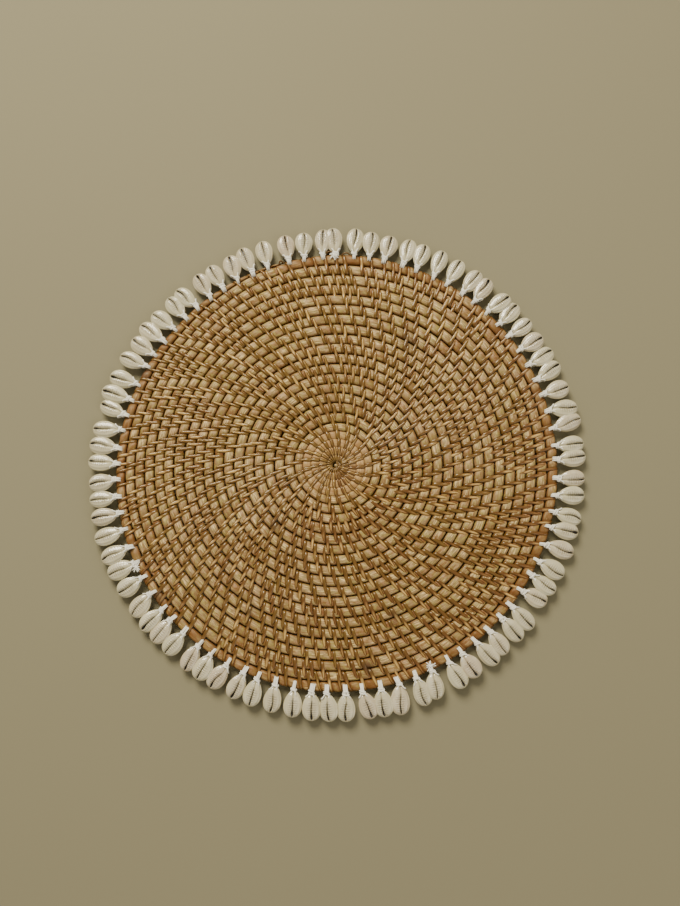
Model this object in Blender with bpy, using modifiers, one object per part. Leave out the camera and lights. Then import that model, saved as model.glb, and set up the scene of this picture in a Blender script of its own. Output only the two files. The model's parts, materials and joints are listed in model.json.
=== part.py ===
"""Round coiled rattan placemat with a sewn-on edging of cowrie shells.

The mat lies on the plane z = 0 with its woven face up.  The origin is the middle of its
underside.  Three kinds of piece make it: the coiled mat, the shells round its rim, and the
cotton thread that ties every shell to the rim.  Lengths are in metres.
"""

import math

import bmesh
import bpy
from mathutils import Matrix, Vector

OBJECT_NAME = "shell_edged_rattan_placemat"

# The coiled mat: a flat disc with a rounded rim that isn't quite a circle.
MAT_RADIUS = 0.150
MAT_THICKNESS = 0.0064
RIM_ROUNDING = 0.0030
RIM_SIDES = 72
RIM_SWELLS = (
    # middle (degrees), half width (degrees), share of the radius added there
    {"middle": 45.0, "half_width": 50.0, "share": 0.010},
    {"middle": 145.0, "half_width": 40.0, "share": -0.012},
)

# The cowrie shells: narrow tip toward the rim, flat mouth side up, dome down.
SHELL_COUNT = 81
SHELLS_IN_A_RUN = 3
SHELL_LENGTH = 0.0176
SHELL_WIDTH = 0.0130
SHELL_DOME_DEPTH = 0.0056
SHELL_MOUTH_HEIGHT = 0.0026
SHELL_NARROWING = 0.30
SHELL_SIDES = 6
SHELL_BANDS = 6
SHELL_LIFT = 0.0001
TIP_CLEARANCE = 0.0037
FIRST_SHELL_ANGLE = math.radians(109.0)
WIDEST_SPACING = math.radians(6.2)
SPACING_IN_A_RUN = math.radians(4.2)
LENGTH_SHARE_VARIED = 0.04
RUN_LEAN = math.radians(1.5)

# The cotton thread: a cord round the rim with a tie over the outer row at each shell.
THREAD_THICKNESS = 0.0012
THREAD_CLEARANCE = 0.00065
TIE_WIDTH = 0.0023
TIE_REACH = 0.0052
CORD_REACH = 0.0030
CORD_RISE = 0.0005


def clear_scene():
    for old in list(bpy.data.objects):
        bpy.data.objects.remove(old, do_unlink=True)


def new_collection(name):
    collection = bpy.data.collections.new(name)
    bpy.context.scene.collection.children.link(collection)
    return collection


def new_material(name, colour, roughness):
    material = bpy.data.materials.new(name)
    material.use_nodes = True
    shader = material.node_tree.nodes["Principled BSDF"]
    shader.inputs["Base Color"].default_value = (*colour, 1.0)
    shader.inputs["Roughness"].default_value = roughness
    shader.inputs["Metallic"].default_value = 0.0
    material.diffuse_color = (*colour, 1.0)
    return material


def add_object(name, mesh, collection, material=None):
    thing = bpy.data.objects.new(name, mesh)
    collection.objects.link(thing)
    if material and not mesh.materials:
        mesh.materials.append(material)
    return thing


def angle_between(angle, middle):
    """The shorter way round from one angle to another, in radians."""
    return abs((angle - middle + math.pi) % math.tau - math.pi)


def rim_radius(angle):
    """Radius of the mat's outline in one direction."""
    share = 1.0
    for swell in RIM_SWELLS:
        distance = angle_between(angle, math.radians(swell["middle"]))
        share += swell["share"] * math.exp(-((distance / math.radians(swell["half_width"])) ** 2))
    return MAT_RADIUS * share


# ---------------------------------------------------------------- the mat


def make_mat(collection, material):
    """A disc whose side follows the rim's outline, with both edges rounded."""
    mesh = bpy.data.meshes.new("rattan_mat")
    disc = bmesh.new()
    bmesh.ops.create_cone(
        disc,
        cap_ends=True,
        segments=RIM_SIDES,
        radius1=MAT_RADIUS,
        radius2=MAT_RADIUS,
        depth=MAT_THICKNESS,
        matrix=Matrix.Translation((0.0, 0.0, MAT_THICKNESS / 2)),
    )
    for corner in disc.verts:
        radius = rim_radius(math.atan2(corner.co.y, corner.co.x))
        corner.co.xy = corner.co.xy.normalized() * radius
    disc.to_mesh(mesh)
    disc.free()
    mesh.shade_smooth()
    mat = add_object("rattan_mat", mesh, collection, material)
    rounding = mat.modifiers.new("rounded_rim", "BEVEL")
    rounding.width = RIM_ROUNDING
    rounding.segments = 2
    rounding.limit_method = "ANGLE"
    rounding.angle_limit = math.radians(60.0)
    return mat


# ---------------------------------------------------------------- the shells


def make_shell_mesh(material):
    """One cowrie with its narrow tip at the origin, its length along +X and its mouth up."""
    mesh = bpy.data.meshes.new("cowrie_shell")
    shell = bmesh.new()
    bmesh.ops.create_uvsphere(
        shell,
        u_segments=SHELL_SIDES,
        v_segments=SHELL_BANDS,
        radius=1.0,
        matrix=Matrix.Rotation(math.radians(90.0), 4, "Y"),
    )
    for corner in shell.verts:
        along, across, up = corner.co
        fullness = 1.0 + SHELL_NARROWING * along - SHELL_NARROWING * along * along
        height = SHELL_MOUTH_HEIGHT if up > 0.0 else SHELL_DOME_DEPTH
        flatness = math.sin(math.tau / SHELL_SIDES)
        corner.co = Vector(
            (
                (along + 1.0) * SHELL_LENGTH / 2,
                across * fullness * SHELL_WIDTH / 2,
                up * height / flatness,
            )
        )
    bmesh.ops.recalc_face_normals(shell, faces=shell.faces)
    shell.to_mesh(mesh)
    shell.free()
    mesh.materials.append(material)
    mesh.shade_smooth()
    return mesh


def shell_angles():
    """Angles of the shells, anticlockwise, in close runs with wider steps between them."""
    runs = SHELL_COUNT // SHELLS_IN_A_RUN
    steps_in_runs = SHELL_COUNT - runs
    room_between_runs = math.tau - WIDEST_SPACING - steps_in_runs * SPACING_IN_A_RUN
    spacing_between_runs = room_between_runs / (runs - 1)
    angles = [FIRST_SHELL_ANGLE]
    for index in range(1, SHELL_COUNT):
        starts_a_run = index % SHELLS_IN_A_RUN == 0
        step = spacing_between_runs if starts_a_run else SPACING_IN_A_RUN
        angles.append(angles[-1] + step)
    return angles


def place_shell(shell, index, angle):
    """Set one shell against the rim, a little longer or shorter and leaning with its run."""
    run = index // SHELLS_IN_A_RUN
    tip_radius = rim_radius(angle) + TIP_CLEARANCE
    length_share = 1.0 + LENGTH_SHARE_VARIED * math.sin(2.4 * index)
    shell.location = (
        tip_radius * math.cos(angle),
        tip_radius * math.sin(angle),
        SHELL_DOME_DEPTH + SHELL_LIFT,
    )
    shell.rotation_euler = (0.0, 0.0, angle + RUN_LEAN * math.sin(1.9 * run))
    shell.scale = (length_share, 1.0, 1.0)


def make_shell_runs(collection, joined_collection, material):
    """Runs of touching shells, each run joined into one solid round its middle shell."""
    mesh = make_shell_mesh(material)
    angles = shell_angles()
    for first in range(0, SHELL_COUNT, SHELLS_IN_A_RUN):
        run_number = first // SHELLS_IN_A_RUN + 1
        middle = first + SHELLS_IN_A_RUN // 2
        run = add_object(f"cowrie_run_{run_number:02d}", mesh, collection)
        place_shell(run, middle, angles[middle])
        for index in range(first, first + SHELLS_IN_A_RUN):
            if index == middle:
                continue
            neighbour = add_object(f"joined_cowrie_{index + 1:02d}", mesh, joined_collection)
            place_shell(neighbour, index, angles[index])
            neighbour.hide_render = True
            neighbour.display_type = "WIRE"
            union = run.modifiers.new(neighbour.name, "BOOLEAN")
            union.operation = "UNION"
            union.solver = "EXACT"
            union.object = neighbour


# ---------------------------------------------------------------- the thread


def thread_profile():
    """Middle line of a tie: outward offset from the rim and height, from shell to mat."""
    offset = THREAD_CLEARANCE + THREAD_THICKNESS / 2
    rounding_height = MAT_THICKNESS - RIM_ROUNDING
    profile = [(CORD_REACH, rounding_height + CORD_RISE)]
    for turn in (0.0, 45.0, 90.0):
        reach = (RIM_ROUNDING + offset) * math.cos(math.radians(turn)) - RIM_ROUNDING
        height = rounding_height + (RIM_ROUNDING + offset) * math.sin(math.radians(turn))
        profile.append((reach, height))
    profile.append((-TIE_REACH, MAT_THICKNESS + offset))
    return profile


def make_thread(collection, material):
    """A comb: the cord round the rim with one tie for each shell, as a thickened sheet."""
    profile = thread_profile()
    cord_rows = 2
    half_tie_angle = TIE_WIDTH / 2 / MAT_RADIUS
    mesh = bpy.data.meshes.new("edging_thread")
    sheet = bmesh.new()

    def column(angle, rows):
        corners = []
        for reach, height in profile[:rows]:
            radius = rim_radius(angle) + reach
            place = (radius * math.cos(angle), radius * math.sin(angle), height)
            corners.append(sheet.verts.new(place))
        return corners

    def join(left, right):
        for row in range(min(len(left), len(right)) - 1):
            sheet.faces.new((left[row], right[row], right[row + 1], left[row + 1]))

    ties = []
    for angle in shell_angles():
        left = column(angle - half_tie_angle, len(profile))
        right = column(angle + half_tie_angle, len(profile))
        join(left, right)
        ties.append((left, right))
    for this_tie, next_tie in zip(ties, ties[1:] + ties[:1]):
        join(this_tie[1][:cord_rows], next_tie[0][:cord_rows])

    bmesh.ops.recalc_face_normals(sheet, faces=sheet.faces)
    sheet.to_mesh(mesh)
    sheet.free()
    thread = add_object("edging_thread", mesh, collection, material)
    thickness = thread.modifiers.new("thread_thickness", "SOLIDIFY")
    thickness.thickness = THREAD_THICKNESS
    thickness.offset = 0.0
    thickness.use_even_offset = True
    return thread


def main():
    clear_scene()
    parts = new_collection(OBJECT_NAME)
    joined_shells = new_collection("joined_shells")
    rattan = new_material("rattan", (0.42, 0.27, 0.11), 0.5)
    cowrie = new_material("cowrie", (0.74, 0.66, 0.54), 0.25)
    cotton = new_material("cotton", (0.80, 0.76, 0.68), 0.9)
    make_mat(parts, rattan)
    make_shell_runs(parts, joined_shells, cowrie)
    make_thread(parts, cotton)
    bpy.context.view_layer.update()


main()
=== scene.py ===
"""Looks of a round coiled rattan placemat with a sewn-on edging of cowrie shells.

The mat lies face up on the plane z = 0 with its middle at the origin.  A single cane core is
coiled clockwise from the hub.  Narrow strips of rattan peel bind every row to the row inside it.
Cowrie shells lie round the rim, each tied over the outermost row with white cotton.
Lengths are in metres.
"""

import json
import math

import bpy
import numpy as np
from bpy.props import FloatProperty, FloatVectorProperty, IntProperty, PointerProperty
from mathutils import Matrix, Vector

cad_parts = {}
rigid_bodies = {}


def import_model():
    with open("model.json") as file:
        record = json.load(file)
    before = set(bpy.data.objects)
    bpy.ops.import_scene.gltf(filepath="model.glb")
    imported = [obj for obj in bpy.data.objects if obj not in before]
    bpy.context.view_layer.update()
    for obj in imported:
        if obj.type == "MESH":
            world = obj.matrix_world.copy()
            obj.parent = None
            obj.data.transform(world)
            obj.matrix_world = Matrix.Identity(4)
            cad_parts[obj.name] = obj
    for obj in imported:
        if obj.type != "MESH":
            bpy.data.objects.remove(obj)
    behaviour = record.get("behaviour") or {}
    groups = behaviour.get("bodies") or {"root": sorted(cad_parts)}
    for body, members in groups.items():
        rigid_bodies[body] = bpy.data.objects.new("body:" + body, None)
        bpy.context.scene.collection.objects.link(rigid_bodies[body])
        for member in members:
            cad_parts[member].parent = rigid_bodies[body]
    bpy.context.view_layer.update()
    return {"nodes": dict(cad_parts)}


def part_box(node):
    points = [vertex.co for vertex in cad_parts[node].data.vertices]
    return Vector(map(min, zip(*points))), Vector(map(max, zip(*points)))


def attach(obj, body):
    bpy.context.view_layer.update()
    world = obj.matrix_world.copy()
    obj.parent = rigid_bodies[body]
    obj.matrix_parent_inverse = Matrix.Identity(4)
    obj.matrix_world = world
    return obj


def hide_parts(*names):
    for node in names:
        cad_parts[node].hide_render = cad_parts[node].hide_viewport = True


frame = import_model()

bl_info = {
    "name": "Coiled rattan placemat",
    "version": (1, 0, 0),
    "blender": (4, 5, 0),
    "location": "View3D > Sidebar > Placemat",
    "description": "Builds a coiled rattan placemat with a cowrie-shell edging",
    "category": "Object",
}

BODY = "root"
MAT_NODE = "rattan_mat"
THREAD_NODE = "edging_thread"
RUN_NODES = sorted(name for name in frame["nodes"] if name.startswith("cowrie_run_"))
TURN = 2.0 * math.pi
MM = 0.001

MAT_LOW, MAT_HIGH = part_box(MAT_NODE)
MAT_RADIUS = (MAT_HIGH.x - MAT_LOW.x + MAT_HIGH.y - MAT_LOW.y) / 4.0
MAT_THICKNESS = MAT_HIGH.z - MAT_LOW.z


# ------------------------------------------------------------------ settings


def length_setting(name, description, millimetres):
    """A length, given in millimetres and kept in metres."""
    return FloatProperty(name=name, description=description, default=millimetres * MM, unit="LENGTH")


def angle_setting(name, description, degrees):
    """An angle, given in degrees and kept in radians."""
    return FloatProperty(name=name, description=description, default=math.radians(degrees), subtype="ANGLE")


def colour_setting(name, description, default):
    """A colour of three parts."""
    return FloatVectorProperty(
        name=name, description=description, default=default, subtype="COLOR", size=3, min=0.0, max=1.0,
    )


class CoilSettings(bpy.types.PropertyGroup):
    """Sizes and colours of the cane core."""

    outer_pitch: length_setting("Outer row spacing", "Spacing of the rows away from the hub", 6.9)
    inner_pitch: length_setting("Hub row spacing", "Spacing of the rows at the hub", 5.4)
    hub_radius: length_setting("Hub radius", "Radius of the core's middle line where the coil starts", 1.9)
    end_angle: angle_setting("End angle", "Direction in which the coil's tail ends", 104.0)
    tail_sweep: angle_setting("Tail sweep", "Angle over which the outermost row thins out", 40.0)
    squeeze: length_setting("Squeeze", "How far a binding strip presses into the core", 0.55)
    clearance: length_setting("Clearance", "Height of the mat's face over the core", 0.42)
    sway: length_setting("Sway", "How far the rows wander in and out", 0.14)
    cane: colour_setting("Cane", "Main colour of the cane core", (0.282, 0.210, 0.094))
    # The dark cane is also the colour of the painted shade in the joints and beside the strips.
    cane_dark: colour_setting("Dark cane", "Colour of its darker fibres and joints", (0.165, 0.052, 0.006))


class PeelSettings(bpy.types.PropertyGroup):
    """Sizes and colours of the binding strips."""

    width: length_setting("Width", "Width of a strip at its widest", 2.7)
    thickness: length_setting("Thickness", "Thickness of a strip at its middle", 0.8)
    hub_stitches: IntProperty(
        name="Hub stitches", description="Number of stitches round the innermost row", default=22,
    )
    widest_gap: length_setting("Widest gap", "A stitch is added where two would stand further apart", 11.5)
    hub_shift: length_setting("Hub shift", "Sideways step from row to row at the hub", 1.5)
    outer_shift: length_setting("Outer shift", "Sideways step from row to row away from the hub", 3.85)
    slant: length_setting("Slant", "Sideways travel of a strip across one row", 1.8)
    golden: colour_setting("Golden peel", "Colour of the lightest strips", (0.155, 0.089, 0.013))
    russet: colour_setting("Russet peel", "Colour of the reddest strips", (0.122, 0.043, 0.008))


class CowrieSettings(bpy.types.PropertyGroup):
    """Sizes and colours of the shells."""

    length: length_setting("Length", "Length of a middling shell", 17.6)
    width: length_setting("Width", "Width of a middling shell", 12.4)
    mouth_width: length_setting("Mouth width", "Width of the mouth at its middle", 0.60)
    lean: angle_setting("Lean", "How far shells lean to either side", 6.0)
    porcelain: colour_setting("Porcelain", "Main colour of the shells", (0.565, 0.518, 0.335))


class CottonSettings(bpy.types.PropertyGroup):
    """Sizes and colour of the thread."""

    strand_radius: length_setting("Strand radius", "Radius of one strand", 0.46)
    colour: colour_setting("Cotton", "Colour of the thread", (0.95, 0.93, 0.82))


class StageSettings(bpy.types.PropertyGroup):
    """Floor, lights and camera."""

    floor: colour_setting("Floor", "Colour of the floor", (0.233, 0.210, 0.126))
    key_power: FloatProperty(name="Key light", description="Power of the main light", default=42.0)
    fill_power: FloatProperty(name="Fill light", description="Power of the fill light", default=6.0)
    sky_strength: FloatProperty(name="Sky", description="Strength of the surroundings", default=0.42)
    camera_tilt: angle_setting("Camera tilt", "Angle between the view and straight down", 9.5)
    camera_distance: length_setting("Camera distance", "From the lens to the mat's middle", 635.5)
    lens: FloatProperty(name="Lens", description="Focal length in millimetres", default=37.3)


SETTINGS = {
    "placemat_coil": CoilSettings,
    "placemat_peel": PeelSettings,
    "placemat_cowries": CowrieSettings,
    "placemat_cotton": CottonSettings,
    "placemat_stage": StageSettings,
}


# ------------------------------------------------------------------ small helpers


def smooth_step(value, low, high):
    """0 up to low, 1 from high on, and an easy slope between."""
    share = np.clip((np.asarray(value, float) - low) / (high - low), 0.0, 1.0)
    return share * share * (3.0 - 2.0 * share)


def lerp(low, high, share):
    """The value that lies a share of the way from low to high."""
    return low + (high - low) * share


def bell(value, middle, width):
    """1 at the middle, with a smooth fall to either side."""
    return np.exp(-(((value - middle) / width) ** 2))


def drawn(random, middle, spread, low, high):
    """A random number near the middle, kept within its limits."""
    return float(np.clip(random.normal(middle, spread), low, high))


def rotated(first, second, angle):
    """Two coordinates turned by an angle in their own plane."""
    cosine, sine = math.cos(angle), math.sin(angle)
    return first * cosine - second * sine, first * sine + second * cosine


def round_mat(radius, angle, height):
    """Places given by their distance and direction from the mat's middle."""
    radius, angle, height = np.broadcast_arrays(radius, angle, height)
    return np.stack([radius * np.cos(angle), radius * np.sin(angle), height], axis=-1)


# A corner of the solid is on the outline if it is past this share of the mat's radius and no
# more than a little inside the furthest corner near it.
RIM_SHARE = 0.9
NEARBY = math.radians(7.0)
A_LITTLE_INSIDE = 0.35 * MM


def mat_outline():
    """Angles and radii of the mat's rim, read from its solid."""
    corners = np.array([corner.co for corner in frame["nodes"][MAT_NODE].data.vertices])
    radii = np.hypot(corners[:, 0], corners[:, 1])
    angles = np.arctan2(corners[:, 1], corners[:, 0])
    outline = {}
    for angle, radius in zip(angles, radii):
        if radius > RIM_SHARE * MAT_RADIUS:
            key = round(float(angle), 3)
            outline[key] = max(outline.get(key, 0.0), float(radius))
    keys = np.array(sorted(outline))
    radii = np.array([outline[key] for key in keys])
    apart = np.abs((keys[:, None] - keys[None, :] + math.pi) % TURN - math.pi)
    near = np.where(apart < NEARBY, radii[None, :], 0.0).max(axis=1)
    outermost = radii > near - A_LITTLE_INSIDE
    return keys[outermost], radii[outermost]


OUTLINE_ANGLES, OUTLINE_RADII = mat_outline()


def rim_radius(angle):
    """The mat's own radius in a direction."""
    return np.interp(angle, OUTLINE_ANGLES, OUTLINE_RADII, period=TURN)


class Surfaces:
    """Gathers ringed surfaces, then makes them one mesh with a length-wise UV map and tints."""

    # The four corners of a quad, as steps from ring to ring and from side to side.
    QUAD_ROWS = np.array([0, 0, 1, 1])
    QUAD_SIDES = np.array([0, 1, 1, 0])

    def __init__(self):
        self.places = []
        self.tints = []
        self.quads = []
        self.quad_uvs = []
        self.caps = []
        self.count = 0

    def add(self, rings, along, tint, looped=False):
        """Skin a row of rings. along holds each ring's distance, tint the colour of each corner."""
        rings = np.asarray(rings, float)
        along = np.asarray(along, float)
        ring_count, sides = rings.shape[:2]
        self.places.append(rings.reshape(-1, 3))
        self.tints.append(np.broadcast_to(tint, (ring_count, sides, 4)).reshape(-1, 4))
        if looped:
            steps = ring_count
            along = np.append(along, along[-1] + (along[-1] - along[-2]))
        else:
            steps = ring_count - 1
            last_ring = (ring_count - 1) * sides
            self.caps.append(self.count + np.arange(sides)[::-1])
            self.caps.append(self.count + last_ring + np.arange(sides))
        row = np.arange(steps)[:, None, None] + self.QUAD_ROWS
        side = np.arange(sides)[None, :, None] + self.QUAD_SIDES
        quad = row % ring_count * sides + side % sides
        self.quads.append(quad.reshape(-1, 4) + self.count)
        uv = np.stack(np.broadcast_arrays(side / sides, along[row]), axis=-1)
        self.quad_uvs.append(uv.reshape(-1, 2))
        self.count += ring_count * sides

    def build(self, name, material):
        """Make everything that was gathered one object with one material."""
        places = np.concatenate(self.places)
        quads = np.concatenate(self.quads)
        loops = [quads.reshape(-1)] + self.caps
        sizes = [np.full(len(quads), 4)] + [np.array([len(cap)]) for cap in self.caps]
        loop_corners = np.concatenate(loops).astype(np.int32)
        face_sizes = np.concatenate(sizes)
        starts = np.concatenate([[0], np.cumsum(face_sizes)[:-1]]).astype(np.int32)
        mesh = bpy.data.meshes.new(name)
        mesh.vertices.add(len(places))
        mesh.vertices.foreach_set("co", places.astype(np.float32).reshape(-1))
        mesh.loops.add(len(loop_corners))
        mesh.loops.foreach_set("vertex_index", loop_corners)
        mesh.polygons.add(len(face_sizes))
        mesh.polygons.foreach_set("loop_start", starts)
        mesh.update(calc_edges=True)
        uvs = np.zeros((len(loop_corners), 2))
        quad_uvs = np.concatenate(self.quad_uvs)
        uvs[: len(quad_uvs)] = quad_uvs
        layer = mesh.uv_layers.new(name="grain")
        layer.uv.foreach_set("vector", uvs.astype(np.float32).reshape(-1))
        tints = mesh.attributes.new("tint", "FLOAT_COLOR", "POINT")
        tints.data.foreach_set("color", np.concatenate(self.tints).astype(np.float32).reshape(-1))
        mesh.validate()
        mesh.shade_smooth()
        mesh.materials.append(material)
        thing = bpy.data.objects.new(name, mesh)
        bpy.context.scene.collection.objects.link(thing)
        return thing


def curve_through(points, count, looped=False):
    """Places along a smooth curve that passes through the points."""
    points = np.asarray(points, float)
    size = len(points)
    spans = size if looped else size - 1
    at = np.linspace(0.0, spans, count, endpoint=not looped)
    span = np.minimum(at.astype(int), spans - 1)
    share = (at - span)[:, None]

    def corner(index):
        return points[index % size] if looped else points[np.clip(index, 0, size - 1)]

    before, here, there, beyond = (corner(span + step) for step in (-1, 0, 1, 2))
    return 0.5 * (
        2.0 * here
        + (there - before) * share
        + (2.0 * before - 5.0 * here + 4.0 * there - beyond) * share**2
        + (3.0 * here - before - 3.0 * there + beyond) * share**3
    )


NO_STRANDS_WAY = (0.21, 0.34, 0.92)


def tube_rings(path, radius, sides, looped=False):
    """Rings of a round tube along a path, carried on without twisting."""
    path = np.asarray(path, float)
    if looped:
        forward = np.roll(path, -1, axis=0) - np.roll(path, 1, axis=0)
    else:
        forward = np.gradient(path, axis=0)
    forward /= np.linalg.norm(forward, axis=1, keepdims=True)
    if looped:
        guide = np.cross(path - path.mean(0), forward).sum(0)
        guide = np.broadcast_to(guide / np.linalg.norm(guide), path.shape)
    else:
        aside = np.cross(forward[0], NO_STRANDS_WAY)
        guide = [aside / np.linalg.norm(aside)]
        for direction in forward[1:]:
            carried = guide[-1] - direction * np.dot(direction, guide[-1])
            guide.append(carried / np.linalg.norm(carried))
        guide = np.array(guide)
    sideways = np.cross(guide, forward)
    sideways /= np.linalg.norm(sideways, axis=1, keepdims=True)
    upward = np.cross(forward, sideways)
    turn = np.arange(sides) * TURN / sides
    radius = np.broadcast_to(np.asarray(radius, float), (len(path),))[:, None, None]
    ring = (
        np.cos(turn)[None, :, None] * sideways[:, None, :]
        + np.sin(turn)[None, :, None] * upward[:, None, :]
    )
    return path[:, None, :] + radius * ring


def path_lengths(path):
    """How far along a path each of its points is."""
    steps = np.linalg.norm(np.diff(np.asarray(path, float), axis=0), axis=1)
    return np.concatenate([[0.0], np.cumsum(steps)])


def tints(red, green, blue, alpha=1.0):
    """A tint for each corner, from its four numbers."""
    return np.stack(np.broadcast_arrays(red, green, blue, alpha), axis=-1)


def settle(piece, slot_name, *nodes):
    """Ride a finished piece on the body and hide the solids that it stands for; slot_name is not used."""
    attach(piece, BODY)
    if nodes:
        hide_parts(*nodes)


# ------------------------------------------------------------------ materials


class Finish:
    """A Principled material with short calls for its nodes."""

    def __init__(self, name):
        self.material = bpy.data.materials.new(name)
        self.material.use_nodes = True
        self.nodes = self.material.node_tree.nodes
        self.links = self.material.node_tree.links
        self.shader = self.nodes["Principled BSDF"]

    def put(self, socket, value):
        """Link a socket to an output, or set the socket itself to a constant."""
        if isinstance(value, bpy.types.NodeSocket):
            self.links.new(value, socket)
        elif socket.type == "RGBA":
            socket.default_value = (*value, 1.0)
        else:
            socket.default_value = value

    def feed(self, node, inputs):
        """Put a value in each input named; an underscore stands for a space."""
        for name, value in inputs.items():
            self.put(node.inputs[name.replace("_", " ")], value)

    def set(self, **inputs):
        """Feed the shader itself."""
        self.feed(self.shader, inputs)

    def node(self, kind, settings, **inputs):
        made = self.nodes.new(kind)
        for key, value in settings.items():
            setattr(made, key, value)
        self.feed(made, inputs)
        return made

    def mix(self, share, low, high):
        """A colour a share of the way from low to high."""
        made = self.node("ShaderNodeMix", {"data_type": "RGBA"}, Factor=share, A=low, B=high)
        return made.outputs["Result"]

    def math(self, operation, first, second):
        made = self.node("ShaderNodeMath", {"operation": operation})
        for socket, value in zip(made.inputs, (first, second)):
            self.put(socket, value)
        return made.outputs[0]

    def spread(self, value, low, high, to_low=0.0, to_high=1.0):
        """The value's range from low to high, eased over the range from to_low to to_high."""
        made = self.node(
            "ShaderNodeMapRange", {"interpolation_type": "SMOOTHSTEP"},
            Value=value, From_Min=low, From_Max=high, To_Min=to_low, To_Max=to_high,
        )
        return made.outputs["Result"]

    def noise(self, place, scale, detail, roughness):
        made = self.node(
            "ShaderNodeTexNoise", {},
            Vector=place, Scale=scale, Detail=detail, Roughness=roughness,
        )
        return made.outputs["Fac"]

    def waves(self, place, direction, scale, distortion):
        made = self.node(
            "ShaderNodeTexWave", {"wave_type": "BANDS", "bands_direction": direction},
            Vector=place, Scale=scale, Distortion=distortion,
        )
        return made.outputs["Fac"]

    def place(self):
        """Places on the mat itself, in metres."""
        return self.nodes.new("ShaderNodeTexCoord").outputs["Object"]

    def grain_place(self, across, along):
        """The grain UVs scaled apart, so that a noise read there is drawn out along the fibre."""
        uv = self.node("ShaderNodeUVMap", {"uv_map": "grain"})
        scaled = self.node(
            "ShaderNodeMapping", {"vector_type": "POINT"},
            Vector=uv.outputs["UV"], Scale=(across, along, 1.0),
        )
        return scaled.outputs["Vector"]

    def tint(self):
        """The tint's four numbers, by the names of their outputs."""
        read = self.node("ShaderNodeAttribute", {"attribute_name": "tint"})
        parts = self.node("ShaderNodeSeparateColor", {}, Color=read.outputs["Color"])
        outputs = {part.name: part for part in parts.outputs}
        outputs["Alpha"] = read.outputs["Alpha"]
        return outputs

    def bump(self, height, distance, strength):
        made = self.node("ShaderNodeBump", {}, Strength=strength, Distance=distance, Height=height)
        self.set(Normal=made.outputs["Normal"])


def cane_finish(coil):
    """Split cane: drawn-out fibres with stains, painted shade toward the joints and beside the strips, and
    pale fibres that show most on the block crests as a painted highlight.

    Tint red is each block's tone with painted shade toward the joints and beside the strips,
    green the rim's orange gloss, blue the stain and alpha the distance from the hub.
    """
    darker_and_shaded_cane, pale, straw = (0.210, 0.130, 0.050), (1.0, 0.73, 0.34), (0.33, 0.225, 0.070)
    olive, blush, hub_blush = (0.34, 0.265, 0.070), (0.45, 0.275, 0.145), (0.43, 0.245, 0.098)
    orange, stain = (0.160, 0.060, 0.012), (0.05, 0.022, 0.012)
    finish = Finish("cane_core")
    tint = finish.tint()
    fibres = finish.noise(finish.grain_place(26.0, 160.0), 1.0, 4.0, 0.6)
    streaks = finish.noise(finish.grain_place(9.0, 70.0), 1.0, 2.0, 0.5)
    clouds = finish.noise(finish.place(), 95.0, 3.0, 0.6)
    hues = finish.noise(finish.place(), 420.0, 2.0, 0.6)
    patches = finish.noise(finish.place(), 28.0, 2.0, 0.5)

    # Low tint red gives the darker cane, both for darker blocks and as painted shade in the joints and
    # beside the strips; high tint red brings the pale fibres, a painted highlight on the crests.
    body = finish.mix(finish.spread(tint["Red"], 0.25, 1.0), darker_and_shaded_cane, coil.cane)
    body_with_painted_shade = finish.mix(finish.spread(tint["Red"], 0.0, 0.30), coil.cane_dark, body)
    lit = finish.mix(finish.spread(tint["Red"], 0.1, 0.9), body_with_painted_shade, pale)
    tone = finish.mix(finish.spread(fibres, 0.46, 0.66), body_with_painted_shade, lit)
    tone = finish.mix(finish.spread(streaks, 0.32, 0.54, 0.72, 0.0), tone, coil.cane_dark)
    tone = finish.mix(finish.spread(clouds, 0.50, 0.75, 0.0, 0.45), tone, straw)
    green_patches = finish.spread(patches, 0.35, 0.65, 0.3, 0.9)
    tone = finish.mix(finish.math("MULTIPLY", finish.spread(hues, 0.45, 0.70), green_patches), tone, olive)
    red_patches = finish.spread(patches, 0.65, 0.35, 0.2, 0.7)
    tone = finish.mix(finish.math("MULTIPLY", finish.spread(hues, 0.55, 0.30), red_patches), tone, blush)
    tone = finish.mix(tint["Green"], tone, orange)
    hub = finish.math("SUBTRACT", 1.0, tint["Alpha"])
    tone = finish.mix(finish.math("MULTIPLY", hub, 0.55), tone, hub_blush)
    tone = finish.mix(tint["Blue"], tone, stain)
    finish.set(
        Base_Color=tone, Roughness=finish.spread(fibres, 0.3, 0.7, 0.36, 0.55),
        Specular_IOR_Level=0.35, Specular_Tint=(1.0, 0.88, 0.66),
    )
    finish.bump(fibres, 0.16 * MM, 0.9)
    return finish.material


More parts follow.
